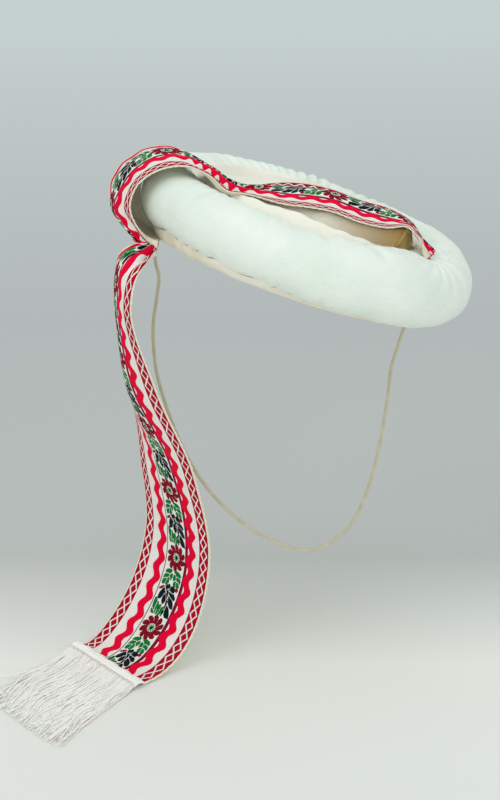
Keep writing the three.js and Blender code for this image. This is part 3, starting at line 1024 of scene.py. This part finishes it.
@dataclass
class Ribbon:
    """A length of woven ribbon held by its two edges' stations."""

    name: str
    node: str
    slot: str
    stations: tuple[tuple, ...]
    phase: float  # where the first flower's middle lies, mm
    in_hat: bool  # whether the stations are in the hat frame
    swells: tuple[Swell, ...] = ()
    gathers: tuple[tuple[float, float], ...] = ()  # stations where it is gathered, and how far round them
    pleats: int = 4  # folds across a gathered row
    deepest: float = 3.4  # the most that a pleat rises, mm
    slip: tuple[float, float, float] = (0.0, 0.0, 1.0)  # ribbon hidden in a fold: length, from, to
    inset: float = 1.2  # how far each edge lies inside its stations
    roll: PaddedRoll | None = None  # what its far edge is turned in to, between two stations
    turned_in: tuple[float, float] = (12.6, 18.9)
    thickness: float = 0.8
    width: float = 72.0
    rows: int = 400
    columns: int = 64
    picot: float = 4.4  # spacing of the small scallops on the edges
    station_step: float = 8.0  # spacing of the stations while the cambers are eased, mm

    def sheet_points(self) -> tuple[Array, Array]:
        """The ribbon's middle surface and its cloth coordinates.

        Each row runs from the near edge to the far edge and bows out by the camber times
        4 q (1 - q), q being the share across. A gathered row folds into pleats: a sine across,
        high enough that the cloth's width fits between the stations, as far as the limit
        allows. The edges are scalloped.

        Returns:
            The points in the stations' frame and the coordinates in millimetres.
        """
        table = np.array([row[1:] for row in self.stations], dtype=float)
        places = np.linspace(0, len(table) - 1, self.rows)
        near, far = through(table[:, 0:3], places), through(table[:, 3:6], places)
        steps = self.station_step * np.arange(len(table), dtype=float)
        camber = through(joined(steps, table[:, 6]), places)[:, 1]
        face = unit(np.cross(far - near, np.gradient(near + far, axis=0)))
        share = np.linspace(self.inset / self.width, 1 - self.inset / self.width, self.columns)
        along = run_length((near + far) / 2)
        scallop = 0.9 * np.abs(np.sin(math.pi * along / self.picot))[:, None] * (
            bell(share - share[0], 0.012) - bell(share[-1] - share, 0.012))
        points = near[:, None] + (far - near)[:, None] * share[:, None]
        points = points - unit(far - near)[:, None] * scallop[..., None]
        held = np.linalg.norm(far - near, axis=-1)
        spare = np.sqrt(np.maximum(0.0, (self.width - 2 * self.inset) ** 2 - held**2)) / (4 * self.pleats)
        gathered = sum((bell(places - spot, reach) for spot, reach in self.gathers), 0.0 * places)
        depth = (np.minimum(spare, self.deepest) * np.minimum(1.0, gathered))[:, None]
        ease = np.clip(8 * share * (1 - share), 0, 1)
        bow = 4 * camber[:, None] * share * (1 - share)
        bow = bow + depth * np.sin(TAU * self.pleats * share + 0.6) * ease
        grain = np.sin(along / 17.0)[:, None] * np.sin(TAU * share + along[:, None] / 31) * 0.35
        points = points + face[:, None] * (bow + grain)[..., None]
        for swell in self.swells:
            weight = bell(places - swell.place, swell.place_spread)[:, None] * bell(
                share - swell.share, swell.share_spread)
            points = points + weight[..., None] * np.array(swell.push)
        if self.roll is not None:
            points = self.leant(points, places, share)
        length, start, stop = self.slip
        drawn = along + length * ramp(along, start, stop - start)
        return points, joined(drawn[:, None], self.width * share)

    def leant(self, points: Array, places: Array, share: Array) -> Array:
        """Turns the last fifth of the width in, so that the far edge lies on the roll.

        Where the edge is below the roll's middle it is carried further under the roll, and stands
        further off it there.

        Args:
            points: Rows by columns of points, in the hat frame.
            places: Each row's station number.
            share: Each column's share of the way across.

        Returns:
            The moved points.
        """
        edge = points[:, -1]
        angle = np.degrees(np.arctan2(edge[:, 1], edge[:, 0]))
        turn = np.degrees(np.arctan2(edge[:, 2], np.hypot(edge[:, 0], edge[:, 1]) - self.roll.radius))
        turn = np.where(turn < 0, np.maximum(3.0 * turn, -92.0), turn)
        rest = self.roll.surface(angle, turn, 0.9 + 7.3 * ramp(turn, -72.0, -20.0), puckered=False)
        first, last = self.turned_in
        along = eased(ramp(places, first, 1.4) * ramp(places, last, -0.9))
        weight = along[:, None] * eased(ramp(share, 0.78, 0.22))
        return points + weight[..., None] * (rest - edge)[:, None]

    def build(self) -> Piece:
        """Makes the ribbon with its two faces.

        Returns:
            The ribbon.
        """
        points, uv = self.sheet_points()
        points = place(to_setting(points) if self.in_hat else points)
        ribbon = cloth_object(self.name, points, uv * MM, flip=True)
        give_wall(ribbon, self.thickness, offset=0.0, reverse=1)
        face = RibbonWeave(self.name + "_face", self.phase)
        back = RibbonWeave(self.name + "_back", self.phase, reverse=True)
        dress(ribbon, self.node, self.slot, face.material(), back.material())
        return ribbon


@dataclass
class Fringe:
    """The white fringe: a woven heading along the ribbon's end and loose threads beyond it."""

    threads: int = 780
    points: int = 22
    sides: int = 5
    length: float = 92.0
    heading: float = 7.0
    lean: float = 0.36  # how far a thread goes to the near side, as a share of its length
    stray: int = 26  # one thread in so many is thick and wanders
    tinted_from: float = 0.976  # share of the way to the near corner past which threads are pink
    seed: int = 7

    def ends(self) -> tuple[Array, Array, Array]:
        """The ribbon end's far corner, the way from it to its near corner, and the threads' way.

        Returns:
            The three vectors, the last at length one.
        """
        row = TAIL_STATIONS[-1]
        near, far = np.array(row[1:4], dtype=float), np.array(row[4:7], dtype=float)
        across = unit(near - far)
        return far, near - far, np.array([across[1], -across[0], 0.0])

    def build_heading(self) -> Piece:
        """Makes the heading: a flat woven strip, ribbed across, that grips the ribbon's end.

        Returns:
            The heading.
        """
        far, span, out = self.ends()
        u, v = np.meshgrid(np.linspace(-0.012, 1.012, 260), np.linspace(0, 1, 26), indexing="ij")
        ribs = 0.22 * hills(u * 150) + 0.18 * np.sin(v * 22) + 0.25 * np.sin(u * 19 + 2 * v)
        top = 2.9 * np.sin(math.pi * np.clip(v, 0.03, 0.97)) ** 0.3 + ribs * np.sin(math.pi * v)
        push = -1.6 + (self.heading + 1.8) * v + 0.5 * np.sin(u * 33)
        flat = far[:2] + span[:2] * u[..., None] + out[:2] * push[..., None]
        points = joined(flat[..., 0], flat[..., 1], 0.3 + top)
        heading = cloth_object("fringe_heading", place(points), joined(u * 0.076, v * 0.009))
        give_wall(heading, 0.5)
        dress(heading, "fringe", "fringe_yarn", FRINGE_YARN.material())
        return heading

    def build_threads(self) -> Piece:
        """Makes the threads: each leaves the heading, leans to the near side and wanders a little.

        Its way sideways is its lean, a drift that grows with the square of the distance and a
        curl that is a sine of it. Strays are thicker, curl and drift more and arch up. By the
        near corner every other thread is faintly pink.

        Returns:
            The threads.
        """
        rng = np.random.default_rng(self.seed)
        column = (self.threads, 1)
        far, span, out = self.ends()
        t = np.linspace(0, 1, self.points)[None, :]
        root = rng.uniform(0.0, 1.0, self.threads)[:, None]
        reach = self.length * rng.uniform(0.86, 1.0, self.threads)[:, None]
        lean = self.lean + 0.05 * rng.normal(size=column) + 0.05 * (0.5 - root)
        drift = rng.normal(size=column) * 3.0 * t**2
        curl = rng.uniform(0.2, 1.3, column) * np.sin(
            t * rng.uniform(4, 11, column) + rng.uniform(0, 6.3, column)) * t
        stack = rng.uniform(0.2, 2.0, column)
        order = np.arange(self.threads)
        stray = (order % self.stray == 0)[:, None]
        curl = np.where(stray, curl + 4.6 * np.sin(t * rng.uniform(5, 9, column)) * t, curl)
        drift = np.where(stray, 1.8 * drift, drift)
        height = 0.45 + stack * (1 - 0.35 * t) + 0.5 * np.abs(curl) + 1.4 * bell(t - 0.02, 0.05)
        height = height + 4.0 * stray * t * (1 - t)
        push = self.heading - 0.2 + (reach - self.heading) * t
        slide = (lean * reach + drift) * t + curl
        points = far + span * root[..., None] + out * push[..., None] + unit(span) * slide[..., None]
        points[..., 2] = height
        radius = rng.uniform(0.24, 0.36, column) * (1 + 0.7 * stray) * (1 - 0.35 * t**6) * MM
        threads = tube_object("fringe_threads", place(points), radius, self.sides)
        dress(threads, "fringe", "fringe_yarn", FRINGE_YARN.material(), PINK_THREAD.material())
        tinted = ((root[:, 0] > self.tinted_from) & (order % 2 == 0)).astype(np.int32)
        faces = np.concatenate([np.repeat(tinted, self.sides * (self.points - 1)), tinted, tinted])
        threads.data.polygons.foreach_set("material_index", faces)
        return threads


# The chin elastic's route in the setting frame, from the wearer's right to the left
ELASTIC_ROUTE = (
    (-72.35, -35.85, 276), (-73.4, -34.8, 269.5), (-73.2, -33, 262.5), (-71.2, -33, 253),
    (-72.5, -33, 240), (-75.3, -33, 219), (-73.8, -34, 191.4), (-69.4, -36, 172.9),
    (-57.3, -42, 140.5), (-40.4, -48, 112.7), (-15, -53, 88.6), (11.9, -56, 75),
    (24, -56, 72.6), (37, -53, 75), (52, -44, 84), (65, -27, 104), (74, -8, 132),
    (79, 8, 156), (81.6, 16, 174.7), (84.5, 19, 184), (89.8, 22, 200.2), (94.35, 23.85, 211.3),
)


@dataclass
class ChinElastic:
    """The thin braided elastic that passes under the chin."""

    diameter: float = 2.2
    sides: int = 12
    points: int = 420

    def build(self) -> Piece:
        """Makes the elastic as a tube along its route.

        Returns:
            The elastic.
        """
        route = np.array(ELASTIC_ROUTE, dtype=float)
        line = place(through(route, np.linspace(0, len(route) - 1, self.points)))
        radius = np.full((1, self.points), self.diameter / 2 * MM)
        elastic = tube_object("chin_cord", line[None], radius, self.sides)
        dress(elastic, "chin_elastic", "elastic", ELASTIC_BRAID.material())
        tuple(line[0])
        [tuple(point) for point in line]
        return elastic


@dataclass
class Studio:
    """The plain floor, the soft lights and the camera at the photograph's angle."""

    # Painted light and shade on the floor, which stand in for the backdrop's shade, by depth: share of the
    # way from 0.3 m in front to 2.2 m behind
    painted_floor_shade: tuple[tuple[float, str], ...] = ((0.02, "#E8E9E6"), (0.09, "#EFF0EC"), (0.16, "#C3C5C4"),
                                            (0.38, "#C3C6C7"), (0.95, "#E8F0F0"))
    depth: tuple[float, float] = (-0.3, 2.2)
    half_floor: float = 8000.0
    # Square soft lights that face the hat: name, place, side in mm, power in W, colour
    lights: tuple[tuple, ...] = (
        ("key", (-1100, -1000, 1500), 1100, 5.4, "#FFFDF8"),
        ("fill", (1300, -1000, 800), 1300, 3.0, "#FFFFFC"),
        ("front", (-220, -1700, 680), 600, 3.3, "#FFFEFA"),
        ("top", (100, 200, 1700), 1200, 3.2, "#FAFFFE"))
    aim: tuple[float, float, float] = (0.0, 0.0, 200.0)
    sky: str = "#ECF2F0"
    sky_strength: float = 0.78
    eye: tuple[float, float, float] = (-13.0, -1500.0, 703.0)
    pitch: float = 20.0
    lens: float = 108.0

    def build(self) -> None:
        """Sets the floor, the lights, the sky and the camera."""
        self.lay_floor()
        self.hang_lights()
        world = bpy.data.worlds.new("studio")
        bpy.context.scene.world = world
        world.use_nodes = True
        background = world.node_tree.nodes["Background"]
        background.inputs["Color"].default_value = srgb(self.sky)
        background.inputs["Strength"].default_value = self.sky_strength
        data = bpy.data.cameras.new("photo_camera")
        data.sensor_fit = "VERTICAL"
        data.sensor_height = 36.0
        data.lens = self.lens
        data.clip_end = 50.0
        camera = bpy.data.objects.new("photo_camera", data)
        camera.location = place(np.array(self.eye))
        camera.rotation_euler = (math.radians(90 - self.pitch), 0.0, math.radians(WEARER_TURN))
        bpy.context.scene.collection.objects.link(camera)
        bpy.context.scene.camera = camera
        bpy.context.scene.view_settings.view_transform = "Standard"

    def lay_floor(self) -> None:
        """A wide floor of matt paper at the height that the ribbon's end lies on, with light and shade
        painted on it by depth.
        """
        span = self.half_floor
        grid = np.array([[[x, y, -0.05] for y in (-span, span)] for x in (-span, span)])
        floor = cloth_object("floor", place(grid), np.zeros((2, 2, 2)), flip=True)
        paint = Paint("matt_paper_painted_shade")
        spot = paint.add("TexCoord").outputs["Object"]
        turned = paint.add("Mapping", spot, {"Rotation": (0, 0, math.radians(-WEARER_TURN))})
        depth = paint.add("SeparateXYZ", turned).outputs[1]
        # Painted light and shade: the floor's colour follows its depth
        painted_shade_ramp = paint.add("ValToRGB", paint.add("MapRange", depth, *self.depth, 0.0, 1.0))
        stops = painted_shade_ramp.color_ramp.elements
        for share, code in self.painted_floor_shade:
            stops.new(share).color = srgb(code)
        stops.remove(stops[0])
        stops.remove(stops[-1])
        paint.feed(paint.shader, {"Base Color": painted_shade_ramp, "Roughness": 0.9, "Specular IOR Level": 0.1})
        floor.data.materials.append(paint.material)

    def hang_lights(self) -> None:
        """Hangs each light and turns its face, which looks down at first, to the hat."""
        for name, spot, size, power, colour in self.lights:
            data = bpy.data.lights.new(name, "AREA")
            data.size = size * MM
            data.energy = power
            data.color = srgb(colour)[:3]
            lamp = bpy.data.objects.new(name, data)
            lamp.location = place(np.array(spot, dtype=float))
            way = place(np.array(self.aim)) - np.array(lamp.location)
            flat = math.hypot(way[0], way[1])
            lamp.rotation_euler = (math.atan2(flat, -way[2]), 0.0, math.atan2(way[1], way[0]) - math.pi / 2)
            bpy.context.scene.collection.objects.link(lamp)


def main() -> None:
    """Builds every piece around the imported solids, then the studio."""
    logging.basicConfig(level=logging.INFO, format="%(name)s: %(message)s")
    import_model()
    roll = PaddedRoll()
    pieces = [roll.build(), Crown(roll).build(), HeadBand(roll).build()]
    over = Ribbon("ribbon_over_hat", "ribbon_band", "ribbon", BAND_STATIONS, 32.0, True, OVER_SWELLS,
                  gathers=((0, 0.5), (10.3, 1.6), (19, 2.0)), slip=(35.0, 142.0, 188.0), roll=roll).build()
    fringe_maker = Fringe()
    fringe = [fringe_maker.build_heading(), fringe_maker.build_threads()]
    tail = Ribbon("ribbon_hanging", "ribbon_tail", "ribbon_end", TAIL_STATIONS, 29.0, False, TAIL_SWELLS,
                  gathers=((0, 1.6),)).build()
    pieces += [over, tail, *fringe, ChinElastic().build()]
    for piece in pieces:
        LOG.info("%s: %d faces", piece.name, len(piece.data.polygons))
    Studio().build()


if __name__ == "__main__":
    main()
